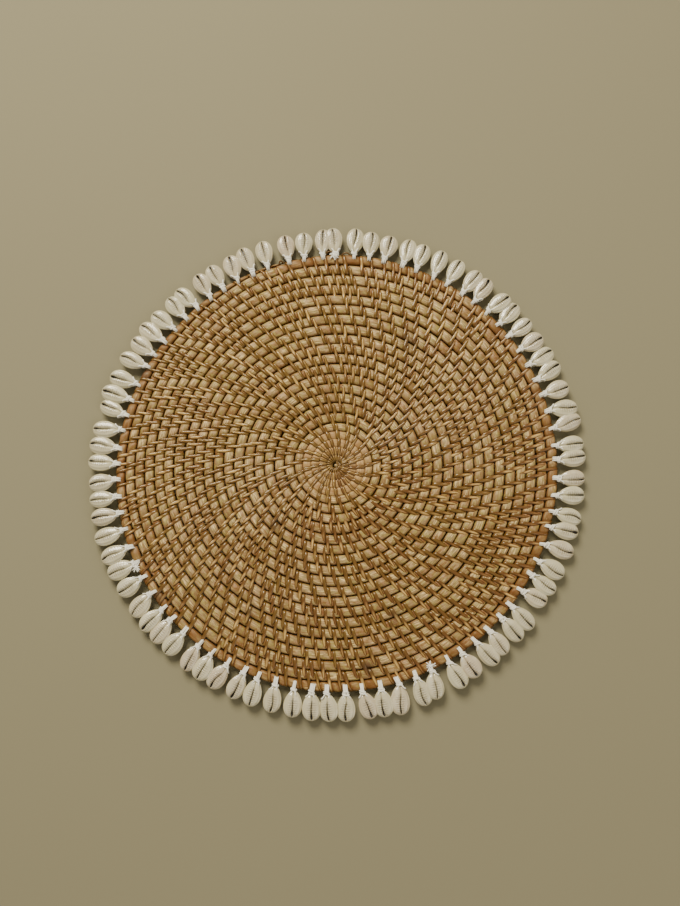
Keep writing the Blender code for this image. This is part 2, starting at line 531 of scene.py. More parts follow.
def peel_finish(peel):
    """Glossy outer peel: a tone for each strip, fine streaks along it.

    Tint red goes from russet to golden, green is a painted highlight whose low values give painted shade,
    blue the stain and the painted shade along the strip's edges.
    """
    shaded, pale = (0.115, 0.066, 0.010), (0.88, 0.62, 0.23)
    cloud, stain = (0.13, 0.055, 0.010), (0.04, 0.02, 0.012)
    finish = Finish("rattan_peel")
    tint = finish.tint()
    streaks = finish.noise(finish.grain_place(9.0, 42.0), 1.0, 2.0, 0.45)
    clouds = finish.noise(finish.place(), 110.0, 2.0, 0.5)
    tone = finish.mix(tint["Red"], peel.russet, peel.golden)
    # Painted shade where the tint's green is low; the pale colour below is a painted highlight where it is
    # high.
    tone = finish.mix(finish.spread(tint["Green"], 0.0, 0.45), finish.mix(0.50, tone, shaded), tone)
    lit = finish.mix(finish.spread(tint["Green"], 0.30, 1.0, 0.0, 0.82), tone, pale)
    tone = finish.mix(finish.spread(streaks, 0.25, 0.70, 0.35, 0.9), tone, lit)
    tone = finish.mix(finish.spread(clouds, 0.52, 0.72, 0.0, 0.5), tone, cloud)
    tone = finish.mix(tint["Blue"], tone, stain)
    finish.set(
        Base_Color=tone, Roughness=finish.spread(streaks, 0.3, 0.7, 0.34, 0.46),
        Specular_IOR_Level=0.50, Specular_Tint=(1.0, 0.84, 0.52),
        Coat_Weight=0.42, Coat_Roughness=0.18, Coat_Tint=(1.0, 0.90, 0.70),
    )
    finish.bump(streaks, 0.02 * MM, 0.5)
    return finish.material


def shell_finish(cowries):
    """Glazed shell: cream lips, faint blush, fine teeth by the mouth, and painted shade inside the mouth.

    Tint red is the blush, green how near a point is to the mouth, blue the painted shade deep inside it.
    """
    blush, cream, speck = (0.52, 0.41, 0.28), (0.68, 0.63, 0.45), (0.52, 0.46, 0.36)
    tooth, inside = (0.27, 0.22, 0.14), (0.020, 0.012, 0.006)
    finish = Finish("cowrie_glaze")
    tint = finish.tint()
    clouds = finish.noise(finish.place(), 140.0, 3.0, 0.55)
    specks = finish.noise(finish.place(), 900.0, 2.0, 0.5)
    tone = finish.mix(finish.spread(tint["Red"], 0.0, 1.0, 0.0, 0.8), cowries.porcelain, blush)
    tone = finish.mix(finish.spread(clouds, 0.45, 0.70, 0.0, 0.55), tone, cream)
    tone = finish.mix(finish.spread(specks, 0.55, 0.75, 0.0, 0.25), tone, speck)
    teeth = finish.waves(finish.grain_place(1.0, 1.0), "Y", 330.0, 1.5)
    toothed = finish.math("MULTIPLY", teeth, finish.spread(tint["Green"], 0.04, 0.55))
    tone = finish.mix(finish.math("MULTIPLY", toothed, 0.48), tone, tooth)
    # Painted shade: the slit goes nearly black deep inside the mouth.
    tone = finish.mix(tint["Blue"], tone, inside)
    finish.set(
        Base_Color=tone, Roughness=finish.spread(clouds, 0.3, 0.7, 0.18, 0.28),
        Specular_IOR_Level=0.6, Coat_Weight=0.85, Coat_Roughness=0.09,
        Subsurface_Weight=0.08, Subsurface_Radius=(0.003, 0.002, 0.001), Subsurface_Scale=1.0,
    )
    finish.bump(toothed, 0.25 * MM, 0.9)
    return finish.material


def cotton_finish(cotton):
    """Matt cotton with its ply seen as slanted lines."""
    groove, fluff = (0.58, 0.54, 0.46), (0.90, 0.89, 0.85)
    finish = Finish("cotton_thread")
    ply = finish.waves(finish.grain_place(2.0, 900.0), "DIAGONAL", 1.0, 1.0)
    fuzz = finish.noise(finish.place(), 2500.0, 2.0, 0.6)
    tone = finish.mix(finish.spread(ply, 0.0, 1.0, 0.0, 0.35), cotton.colour, groove)
    tone = finish.mix(finish.spread(fuzz, 0.5, 0.8, 0.0, 0.3), tone, fluff)
    finish.set(
        Base_Color=tone, Roughness=0.9, Specular_IOR_Level=0.2,
        Sheen_Weight=0.3, Sheen_Roughness=0.5,
    )
    finish.bump(ply, 0.08 * MM, 0.7)
    return finish.material


# ------------------------------------------------------------------ the coil's course


class Coil:
    """The core's course: where each row runs, how wide it is and where the stitches stand.

    A place on the coil is its winding angle, in radians clockwise from the hub.  Radii are
    worked out on an even spiral, and then every point is moved in or out so that the last
    turn meets the mat's own outline.
    """

    STEP = 0.01

    # The rows: the core's width at its beginning, the radii over which it reaches the hub's
    # row spacing, and the rows over which it goes on to the outer spacing and to a looser fill.
    FIRST_WIDTH = 2.5 * MM
    BEGINNING = (1.0 * MM, 8.5 * MM)
    WIDENING = (3.5, 6.5)
    LOOSENING = (3.2, 4.6)
    HUB_HOLE = 0.9 * MM
    HUB_TURNS = 3.6 * TURN
    SWAY_STEP = 0.45
    TAIL_THINNING = 0.80
    RIM_ALLOWANCE = 0.30 * MM

    # The section: how square it is, how much of its row it fills and how it gives way.
    SQUARENESS = 3.3
    HUB_SQUARENESS = 4.6
    FILL = 0.935
    HUB_FILL = 1.10
    HUB_PRESS = 0.80
    PINCH = 0.60
    LESS_PINCH_AT_HUB = 0.45
    MORE_PINCH_AT_RIM = 0.30

    # Shares of the mat's radius between which the stitches change.
    HUB_TO_OUTER = (0.145, 0.26)
    OUTER_TO_RIM = (0.94, 0.965)
    STEADY_TO_LOOSE = (0.12, 0.30)

    # The stitches: how far each may wander, how much it is evened with its neighbours, how
    # close it may come to the one before, and how far from the tail's end the last one stands.
    HUB_WANDER = 0.12 * MM
    OUTER_WANDER = 0.36 * MM
    NEIGHBOURS = 5
    EVENING = 0.20
    MOST_EVENED = 0.8 * MM
    CLOSEST_AT_HUB = 0.6 * MM
    CLOSEST_SHARE = 0.44
    END_MARGIN = 0.03

    # A new stitch stands about half way along a gap that is too wide.  Its pair is the distance
    # before it at which the strip from one row out crosses its row.
    GAP_SPREAD = 0.05
    HALF_WAY = (0.45, 0.55)
    NEW_PAIR = 0.3 * MM
    LEAST_PAIR = 0.2 * MM

    SWAY_SEED = 3
    STITCH_SEED = 11

    def __init__(self, coil, peel):
        self.coil = coil
        self.peel = peel
        self.lay_course()
        self.fit_outline()
        self.set_stitches()

    def lay_course(self):
        """Wind the rows outward, narrow at the hub, until they fill the mat; thin the tail out."""
        coil = self.coil
        radius = coil.hub_radius
        radii, pitches = [], []
        while not pitches or radius + 0.5 * pitches[-1] < MAT_RADIUS + 0.5 * coil.outer_pitch:
            begun = float(smooth_step(radius, *self.BEGINNING))
            widened = float(smooth_step(radius / coil.inner_pitch, *self.WIDENING))
            pitches.append(lerp(lerp(self.FIRST_WIDTH, coil.inner_pitch, begun), coil.outer_pitch, widened))
            radii.append(radius)
            radius += pitches[-1] * self.STEP / TURN
        radii, pitches = np.array(radii), np.array(pitches)
        self.windings = np.arange(len(radii)) * self.STEP
        self.last = float(self.windings[-1])
        random = np.random.default_rng(self.SWAY_SEED)
        knots = np.arange(0.0, self.last + 1.0, self.SWAY_STEP)
        sway = np.interp(self.windings, knots, random.normal(0.0, coil.sway, len(knots)))
        tail = smooth_step(self.windings, self.last - coil.tail_sweep, self.last)
        widths = pitches * (1.0 - self.TAIL_THINNING * tail)
        inner_edges = radii - 0.5 * pitches
        hub = 1.0 - smooth_step(radii / coil.inner_pitch, *self.LOOSENING)
        self.middles = inner_edges + 0.5 * widths + sway * (1.0 - tail)
        self.half_widths = 0.5 * lerp(self.FILL, self.HUB_FILL, hub) * widths
        self.outer_edges = inner_edges + widths

    def fit_outline(self):
        """How much further out or in the last turn has to lie, in each direction."""
        turn = self.windings > self.last - TURN
        angles = self.angle(self.windings[turn]) % TURN
        reach = rim_radius(angles) - self.RIM_ALLOWANCE
        order = np.argsort(angles)
        self.fit_angles = angles[order]
        self.fit_shares = (reach / self.outer_edges[turn] - 1.0)[order]

    def angle(self, winding):
        """The direction from the mat's middle of a place on the coil."""
        return self.coil.end_angle + self.last - winding

    def middle(self, winding):
        """The radius of the core's middle line."""
        return np.interp(winding, self.windings, self.middles)

    def hub_share(self, winding, outermost_row=5.0):
        """1 in the hub's rows, 0 from the given row outward."""
        return 1.0 - smooth_step(winding, self.HUB_TURNS, outermost_row * TURN)

    def rim_share(self, winding, blur):
        """1 in the outermost row, 0 further in."""
        return smooth_step(winding, self.last - TURN - blur, self.last - TURN + blur)

    def point(self, angle, radius, height):
        """A point of the even spiral, moved to where the fitted coil has it."""
        share = np.interp(angle % TURN, self.fit_angles, self.fit_shares, period=TURN)
        return round_mat(radius * (1.0 + share * (radius / MAT_RADIUS) ** 3), angle, height)

    def section(self, winding, turn, squeeze, swell=0.0):
        """Where the core's skin lies: its radius, height and the skin's outward direction.

        turn is the angle round the section, from the rim side over the top.  squeeze is how
        much of the full squeeze is felt, swell how far a block stands proud.  The rows of the
        hub are squeezed least and the rim is squeezed most.
        """
        half_width = np.interp(winding, self.windings, self.half_widths)
        slimness = np.clip(2.0 * half_width / (self.FILL * self.coil.outer_pitch), 0.2, 1.0)
        half_height = (0.5 * MAT_THICKNESS - self.coil.clearance) * slimness**0.30 + swell
        hub = self.hub_share(winding)
        power = 2.0 / lerp(self.SQUARENESS, self.HUB_SQUARENESS, hub)
        cosine, sine = np.cos(turn), np.sin(turn)
        rim = self.rim_share(winding, 0.1) * (cosine > 0.0)
        press = self.coil.squeeze * squeeze * lerp(1.0, self.HUB_PRESS, hub)
        pinch = press * (self.PINCH - self.LESS_PINCH_AT_HUB * hub + self.MORE_PINCH_AT_RIM * rim)
        outward = (half_width - pinch) * np.sign(cosine) * np.abs(cosine) ** power
        upward = (half_height - press) * np.sign(sine) * np.abs(sine) ** power
        across = np.sign(cosine) * np.abs(cosine) ** (2.0 - power) / half_width
        aloft = np.sign(sine) * np.abs(sine) ** (2.0 - power) / half_height
        length = np.hypot(across, aloft)
        radius = np.maximum(self.middle(winding) + outward, self.HUB_HOLE)
        return radius, 0.5 * MAT_THICKNESS + upward, across / length, aloft / length

    def by_row(self, radius, at_hub, outside, more_at_rim):
        """A length that changes from the hub to the wider rows and grows in the outermost."""
        outer = smooth_step(radius / MAT_RADIUS, *self.HUB_TO_OUTER)
        rim = smooth_step(radius / MAT_RADIUS, *self.OUTER_TO_RIM)
        return lerp(at_hub, outside, outer) * (1.0 + more_at_rim * rim)

    def shift(self, radius):
        """How far to the side of the stitch one row in a stitch stands."""
        return self.by_row(radius, self.peel.hub_shift, self.peel.outer_shift, 0.12)

    def slant(self, radius):
        """How far to the side a strip goes while it crosses one row."""
        return self.by_row(radius, 0.82 * self.peel.hub_shift, self.peel.slant, 0.25)

    def set_stitches(self):
        """Each stitch stands a little anticlockwise of the one inside it; gaps get a new one.

        pairs holds how far before each stitch the strip from one row out crosses its row.
        """
        random = np.random.default_rng(self.STITCH_SEED)
        peel = self.peel
        spacing = TURN / peel.hub_stitches
        stitches = [spacing * (0.5 + index) for index in range(peel.hub_stitches)]
        steps = {}
        inside = 0
        while True:
            radius = float(self.middle(stitches[inside] + TURN))
            loose = smooth_step(radius / MAT_RADIUS, *self.STEADY_TO_LOOSE)
            wander = random.normal(0.0, lerp(self.HUB_WANDER, self.OUTER_WANDER, loose))
            step = (self.shift(radius) + wander) / radius
            if inside >= self.NEIGHBOURS:
                near = stitches[inside - self.NEIGHBOURS : inside + self.NEIGHBOURS + 1]
                evened = self.EVENING * (float(np.mean(near)) - stitches[inside])
                most = self.MOST_EVENED / radius
                step -= float(np.clip(evened, -most, most))
            following = stitches[inside] + TURN - step
            gap = (following - stitches[-1]) * radius
            if following > self.last - self.END_MARGIN:
                break
            if gap > peel.widest_gap * (1.0 + random.normal(0.0, self.GAP_SPREAD)):
                stitches.append(stitches[-1] + gap / radius * random.uniform(*self.HALF_WAY))
            if gap > lerp(self.CLOSEST_AT_HUB, self.CLOSEST_SHARE * peel.widest_gap, loose):
                stitches.append(following)
                steps[inside] = step
            inside += 1
        self.stitches = np.array(stitches)
        radii = self.middle(self.stitches)
        inward = self.slant(self.middle(self.stitches + TURN)) / radii
        self.pairs = np.full(len(stitches), self.NEW_PAIR / MAT_RADIUS)
        for index, step in steps.items():
            self.pairs[index] = max(step - inward[index], self.LEAST_PAIR / radii[index])


COURSE = {}


def course():
    """The coil's course, worked out once."""
    if "coil" not in COURSE:
        scene = bpy.context.scene
        COURSE["coil"] = Coil(scene.placemat_coil, scene.placemat_peel)
    return COURSE["coil"]


STAINS = (
    {"angle": 60.0, "share": 0.67, "size": 6.0 * MM, "depth": 0.55},
    {"angle": 225.0, "share": 0.38, "size": 4.5 * MM, "depth": 0.50},
    {"angle": 240.0, "share": 0.75, "size": 4.5 * MM, "depth": 0.50},
    {"angle": 279.0, "share": 0.90, "size": 4.0 * MM, "depth": 0.75},
    {"angle": 291.0, "share": 0.72, "size": 5.0 * MM, "depth": 0.50},
    {"angle": 154.0, "share": 0.98, "size": 5.0 * MM, "depth": 0.70},
    {"angle": 217.0, "share": 0.98, "size": 5.0 * MM, "depth": 0.60},
)


def stain_at(places):
    """How stained the mat is at each place."""
    stain = np.zeros(places.shape[:-1])
    for spot in STAINS:
        x, y, _ = round_mat(spot["share"] * MAT_RADIUS, math.radians(spot["angle"]), 0.0)
        distance = np.hypot(places[..., 0] - x, places[..., 1] - y)
        stain = np.maximum(stain, spot["depth"] * bell(distance, 0.0, spot["size"]))
    return stain


# ------------------------------------------------------------------ operators


class PLACEMAT_OT_core(bpy.types.Operator):
    """Wind the cane core, squeezed where the strips hold it"""

    bl_idname = "placemat.core"
    bl_label = "Coiled core"

    # Angles round the section, from the rim side over the top, and where its rim side is.
    AROUND = np.radians([0, 24, 48, 70, 90, 110, 132, 156, 180, 238, 302])
    RIM_SIDE = np.radians([85.0, 125.0])
    # Along a block: how far from its stitches its edge and its crest are.
    EDGE = 1.12 * MM
    CREST = 1.60 * MM
    LAST_BLOCK = 6.0 * MM
    CLOSEST = 0.22 * MM
    SWELLING_FROM = 4.0 * TURN
    LEAST_RADIUS = 4.0 * MM
    # Random numbers: how light a block is, and how many millimetres it swells.
    LIGHT = (0.66, 0.20, 0.2, 1.0)
    SWELL = (0.14, 0.13)
    SEED = 5

    def levels(self, gap):
        """Along one block: how far from its stitch, how squeezed, how light it is painted (painted shade
        darkest at the stitch, lightest at the crest), how far skewed.
        """
        edge = min(self.EDGE, 0.36 * gap)
        crest = min(self.CREST, 0.45 * gap)
        return (
            (0.0, 1.00, 0.05, 1.00),
            (edge, 0.85, 0.22, 0.95),
            (crest, 0.15, 0.90, 0.85),
            (0.5 * gap, 0.00, 1.00, 0.30),
            (gap - crest, 0.15, 0.90, 0.0),
            (gap - edge, 0.85, 0.22, 0.0),
        )

    def stations(self, path, random):
        """Along the whole core: winding angles, squeezes, tones with painted shade, swells and skews."""
        radii = path.middle(path.stitches)
        last_end = path.stitches[-1] + self.LAST_BLOCK / radii[-1]
        ends = np.append(path.stitches[1:] - path.pairs[1:], last_end)
        rows = [(0.0, 0.0, 0.5, 0.0, 0.0)]
        for stitch, pair, end, radius in zip(path.stitches, path.pairs, ends, radii):
            block = drawn(random, *self.LIGHT)
            swell = random.normal(*self.SWELL) * MM * (stitch > self.SWELLING_FROM)
            # The gap where the strip from one row out crosses this row is painted almost black as shade.
            rows.append((stitch - pair, 1.0, 0.05, 0.0, 0.0))
            for distance, squeeze, light, skew in self.levels((end - stitch) * radius):
                place = stitch + distance / radius
                rows.append((place, squeeze, light * block, swell * (1.0 - squeeze), 0.85 * skew * pair))
        rows.append((path.last, 0.5, 0.3, 0.0, 0.0))
        kept = [rows[0]]
        for row in rows[1:]:
            if row[0] > kept[-1][0] + self.CLOSEST / float(path.middle(row[0])):
                kept.append(row)
        return np.array(kept).T

    def execute(self, context):
        path = course()
        random = np.random.default_rng(self.SEED)
        winding, squeeze, tone, swell, skew = self.stations(path, random)[..., None]
        turn = self.AROUND[None, :]
        middle = path.middle(winding)
        leaning = 0.5 * path.slant(middle) / np.maximum(middle, self.LEAST_RADIUS)
        rim_side = smooth_step(np.abs(turn - math.pi), *self.RIM_SIDE)
        winding = winding - leaning * np.cos(turn) - skew * rim_side
        radius, height, _, _ = path.section(winding, turn, squeeze, swell)
        rings = path.point(path.angle(winding), radius, height)

        hub = path.hub_share(winding)
        # Painted shade: each row's tone darkens toward its sides, where it meets the next row, less so in
        # the hub.
        light = tone * (1.0 - (0.97 - 0.45 * hub) * np.abs(np.cos(turn)) ** 2.2)
        glow = path.rim_share(winding, 0.05) * random.uniform(0.45, 1.0, len(tone))[:, None]
        glow = glow * np.clip(1.0 - 0.50 * light, 0.0, 1.0)
        surfaces = Surfaces()
        surfaces.add(rings, path_lengths(rings.mean(1)), tints(light, glow, stain_at(rings), 1.0 - hub))
        core = surfaces.build("coiled_core", cane_finish(context.scene.placemat_coil))
        settle(core, "rattan", MAT_NODE)
        return {"FINISHED"}


class PLACEMAT_OT_binding(bpy.types.Operator):
    """Wrap the peel strips over two rows at a time, back and front, in one long run"""

    bl_idname = "placemat.binding"
    bl_label = "Peel binding"

    CHUNKS = 4
    # A strip's section: places across it and their height, as shares of width and thickness.
    ACROSS = np.array([-0.50, -0.37, 0.0, 0.37, 0.50, 0.0])
    RISE = np.array([0.0, 0.72, 1.0, 0.72, 0.0, -0.12])
    # Shares of the mat's radius: where the hub's plain spokes end, and where the rim reddens.
    HUB_END = (0.16, 0.24)
    REDDENING = (0.86, 0.97)
    GOLDEN_SIDE = math.radians(130.0)
    MORE_GOLDEN, MORE_RED = 0.26, 0.35
    # Random numbers: how many stitches one strip makes and its tone, then how far each stitch
    # leans, its width and its shine, a painted highlight.
    STRIP_STITCHES = (8, 26)
    STRIP_TONE = (0.52, 0.22, 0.0, 1.0)
    TONE_SPREAD = 0.12
    LEAN = (1.0, 0.25, 0.4, 1.6)
    WIDTH = (1.0, 0.10, 0.78, 1.22)
    SHINE = (0.60, 0.28, 0.05, 1.2)
    SEED = 23

    # A strip's way round the rows: degrees from the rim side over the top, then its width,
    # thickness and shine there, as shares of the most.  The shine is a painted highlight: high on the
    # strip's own row, low as painted shade on the inner row and underneath.
    OVER_OWN = (
        (-20.0, 0.34, 0.40, 0.10),
        (12.0, 0.30, 0.40, 0.10),
        (42.0, 0.32, 0.50, 0.30),
        (66.0, 0.52, 0.75, 0.60),
        (86.0, 0.76, 0.95, 0.95),
        (104.0, 0.92, 1.05, 1.00),
        (124.0, 1.00, 1.10, 1.00),
    )
    OVER_INNER = (
        (52.0, 1.00, 1.00, 0.85),
        (72.0, 1.02, 0.85, 0.55),
        (94.0, 1.02, 0.72, 0.25),
        (116.0, 1.00, 0.65, 0.12),
        (138.0, 0.94, 0.60, 0.05),
        (164.0, 0.78, 0.55, 0.00),
        (200.0, 0.55, 0.50, 0.00),
    )
    OVER_HUB = (
        (134.0, 1.00, 1.00, 0.60),
        (152.0, 0.95, 1.00, 0.40),
        (172.0, 0.90, 0.90, 0.20),
        (200.0, 0.85, 0.80, 0.10),
    )
    UNDER_INNER = (
        (240.0, 0.8, 0.7, 0.3),
        (270.0, 0.9, 0.8, 0.3),
        (298.0, 0.9, 0.8, 0.3),
    )
    UNDER_OWN = (
        (242.0, 0.9, 0.8, 0.3),
        (270.0, 0.8, 0.8, 0.3),
        (305.0, 0.6, 0.7, 0.3),
    )

    def stitch(self, path, here, following, lean):
        """One stitch's winding angles, rows inward, angles round the sections and three shares."""
        own_radius = float(path.middle(here))
        slant = float(path.slant(own_radius)) * lean / own_radius
        front = [(0, *at) for at in self.OVER_OWN]
        back = [(0, *at) for at in self.UNDER_OWN]
        if here > TURN:
            front += [(1, *at) for at in self.OVER_INNER]
            back = [(1, *at) for at in self.UNDER_INNER] + back
            reach = 1.5
        else:
            front += [(0, *at) for at in self.OVER_HUB]
            reach = 0.5
        over = here + slant * np.linspace(-0.5, reach, len(front))
        under = np.linspace(over[-1], following - 0.5 * slant, len(back) + 2)[1:-1]
        rows, turns, wide, thick, shine = np.array(front + back).T

        hub = 1.0 - float(smooth_step(own_radius / MAT_RADIUS, *self.HUB_END))
        hub_top = hub * (turns > 0.0) * (turns < 180.0)
        thinned = 1.0 - 0.85 * smooth_step(turns, 96.0, 150.0) * (rows == 1)
        wide = lerp(wide, 0.80, hub_top)
        thick = lerp(thick, thinned, hub_top)
        # The hub's spokes get a more even painted highlight, and further down the strips over the rim row
        # get at least some.
        shine = lerp(shine, 0.75, 0.8 * hub)
        if here > path.last - TURN:
            over_rim = (rows == 0) * (turns < 100.0)
            wide = np.maximum(wide, 0.86 * over_rim)
            thick = np.maximum(thick, 0.90 * over_rim)
            shine = np.maximum(shine, 0.55 * over_rim)
        return np.stack([np.concatenate([over, under]), rows, np.radians(turns), wide, thick, shine])

    def golden_side_and_red_rim(self, path, here):
        """One side of the mat is more golden than the other, and the rim is reddest."""
        golden = math.cos(float(path.angle(here)) - self.GOLDEN_SIDE)
        red = float(smooth_step(path.middle(here) / MAT_RADIUS, *self.REDDENING))
        return self.MORE_GOLDEN * golden - self.MORE_RED * red

    def stitches(self, path, random):
        """Every stitch in turn, with the tone of its strip and a width and shine of its own."""
        strip_left = 0
        stitches = []
        for here, following in zip(path.stitches[:-1], path.stitches[1:]):
            if strip_left <= 0:
                strip_left = int(random.integers(*self.STRIP_STITCHES))
                strip_tone = drawn(random, *self.STRIP_TONE)
            strip_left -= 1
            stitch = self.stitch(path, here, following, drawn(random, *self.LEAN))
            stitch[3] *= drawn(random, *self.WIDTH)
            stitch[5] *= drawn(random, *self.SHINE)
            tone = strip_tone + random.normal(0.0, self.TONE_SPREAD) + self.golden_side_and_red_rim(path, here)
            tones = np.full(stitch.shape[1], np.clip(tone, 0.0, 1.0))
            stitches.append(np.vstack([stitch, tones]))
        return stitches

    def lay(self, path, peel, run):
        """Rings and tints of a run of stitches laid on the core's skin."""
        winding, rows, turns, width, thick, shine, tone = run[..., None]
        radius, height, across, aloft = path.section(winding - rows * TURN, turns, 1.0)
        room = 0.95 * TURN * radius / peel.hub_stitches
        wide = np.minimum(peel.width * width, room)
        thickness = peel.thickness * thick * np.minimum(1.0, wide / (0.40 * peel.width))
        over_other = 0.22 * peel.thickness * rows * (np.sin(turns) > 0.0)
        over_other = over_other * smooth_step(winding, 3.0 * TURN, 5.0 * TURN)
        lift = self.RISE * thickness + over_other
        angle = path.angle(winding) + self.ACROSS * wide / radius
        rings = path.point(angle, radius + lift * across, height + lift * aloft)

        # Painted shade along both edges of each strip, heaviest in the hub: a darker, more russet tone and
        # the stain colour. The painted highlight is kept to the ridge.
        ridge = 1.0 - np.minimum(1.0, 2.0 * np.abs(self.ACROSS)) ** 2
        painted_edge_shade = (0.28 + 0.50 * path.hub_share(winding, 5.2)) * (1.0 - ridge)
        tone = tone * lerp(0.15, 1.0, ridge)
        shine = np.clip(shine, 0.0, 1.0) * ridge
        return rings, tints(tone, shine, np.maximum(stain_at(rings), painted_edge_shade))

    def execute(self, context):
        peel = context.scene.placemat_peel
        path = course()
        material = peel_finish(peel)
        stitches = self.stitches(path, np.random.default_rng(self.SEED))
        bounds = np.linspace(0, len(stitches), self.CHUNKS + 1).astype(int)
        for chunk, (first, end) in enumerate(zip(bounds[:-1], bounds[1:])):
            rings, tint = self.lay(path, peel, np.concatenate(stitches[first:end], axis=1))
            surfaces = Surfaces()
            surfaces.add(rings, path_lengths(rings.mean(1)), tint)
            settle(surfaces.build(f"peel_binding_{chunk + 1}", material), "rattan")
        return {"FINISHED"}


class PLACEMAT_OT_loose_ends(bpy.types.Operator):
    """Add the core's cut end at the hub and the loose bits of peel at the rim"""

    bl_idname = "placemat.loose_ends"
    bl_label = "Loose ends"

    BITS = (
        {"from": 93.2, "to": 90.2, "rise": 3.0, "thick": 0.55},
        {"from": 88.6, "to": 86.0, "rise": 1.9, "thick": 0.50},
        {"from": 105.6, "to": 104.4, "rise": 1.6, "thick": 0.60},
        {"from": 103.4, "to": 102.2, "rise": 1.0, "thick": 0.50},
    )
    BIT_BENDS, BIT_RINGS, BIT_SIDES = 7, 22, 7
    BIT_INSET = 1.2
    BIT_TINT = (0.05, 0.1, 0.25, 1.0)
    STUB_RINGS, STUB_SIDES = 9, 14
    STUB_RADIUS = 1.15 * MM
    STUB_TIP = 0.10 * MM
    STUB_TINT = (1.0, 0.0, 0.0, 1.0)

    def loose_peel(self, peel):
        """Bits of peel that spring out of the rim and end in it again."""
        surfaces = Surfaces()
        arch = np.sin(np.linspace(0.0, math.pi, self.BIT_BENDS))
        taper = 0.75 + 0.25 * np.sin(np.linspace(0.2, 2.9, self.BIT_RINGS))
        for bit in self.BITS:
            sweep = np.radians(np.linspace(bit["from"], bit["to"], self.BIT_BENDS))
            reach = rim_radius(sweep) + (bit["rise"] * arch - self.BIT_INSET) * MM
            height = 0.72 * MAT_THICKNESS + 0.9 * MM * arch
            line = curve_through(round_mat(reach, sweep, height), self.BIT_RINGS)
            rings = tube_rings(line, bit["thick"] * MM * taper, self.BIT_SIDES)
            surfaces.add(rings, path_lengths(line), self.BIT_TINT)
        settle(surfaces.build("loose_peel", peel_finish(peel)), "rattan")

    def core_beginning(self, coil):
        """The core's cut end, which stands up in the hub's hole."""
        steps = np.linspace(0.0, 1.0, self.STUB_RINGS)
        height = lerp(0.20, 0.98, steps) * MAT_THICKNESS
        line = np.stack([0.3 * MM * steps, -0.2 * MM * steps, height], axis=-1)
        radius = self.STUB_RADIUS * (1.0 - steps**6) ** 0.5 + self.STUB_TIP
        surfaces = Surfaces()
        surfaces.add(tube_rings(line, radius, self.STUB_SIDES), path_lengths(line), self.STUB_TINT)
        settle(surfaces.build("core_beginning", cane_finish(coil)), "rattan")

    def execute(self, context):
        self.loose_peel(context.scene.placemat_peel)
        self.core_beginning(context.scene.placemat_coil)
        return {"FINISHED"}


# Degrees from shell to shell, how uneven that is, and where two shells crowd together and by
# what share of the way.
SHELL_SPACING = 4.44
UNEVENNESS = 0.16
CROWDED = (2.0, 51.8, 69.0, 91.7, 149.0, 222.5, 248.0, 318.0)
CROWDING = 0.17
SPACING_SEED = 41


def shell_angles():
    """Where the shells sit: three evenly in each run of the edging, then nudged into pairs."""
    angles = []
    for name in RUN_NODES:
        corners = np.array([corner.co for corner in frame["nodes"][name].data.vertices])
        middle = corners.mean(0)
        centre = math.degrees(math.atan2(middle[1], middle[0]))
        angles += [centre - SHELL_SPACING, centre, centre + SHELL_SPACING]
    angles = np.unwrap(np.radians(angles))
    random = np.random.default_rng(SPACING_SEED)
    angles = angles + np.radians(random.normal(0.0, UNEVENNESS, len(angles)))
    for crowded in CROWDED:
        apart = (angles - math.radians(crowded) + math.pi) % TURN - math.pi
        pair = np.argsort(np.abs(apart))[:2]
        angles[pair] -= CROWDING * apart[pair]
    return angles


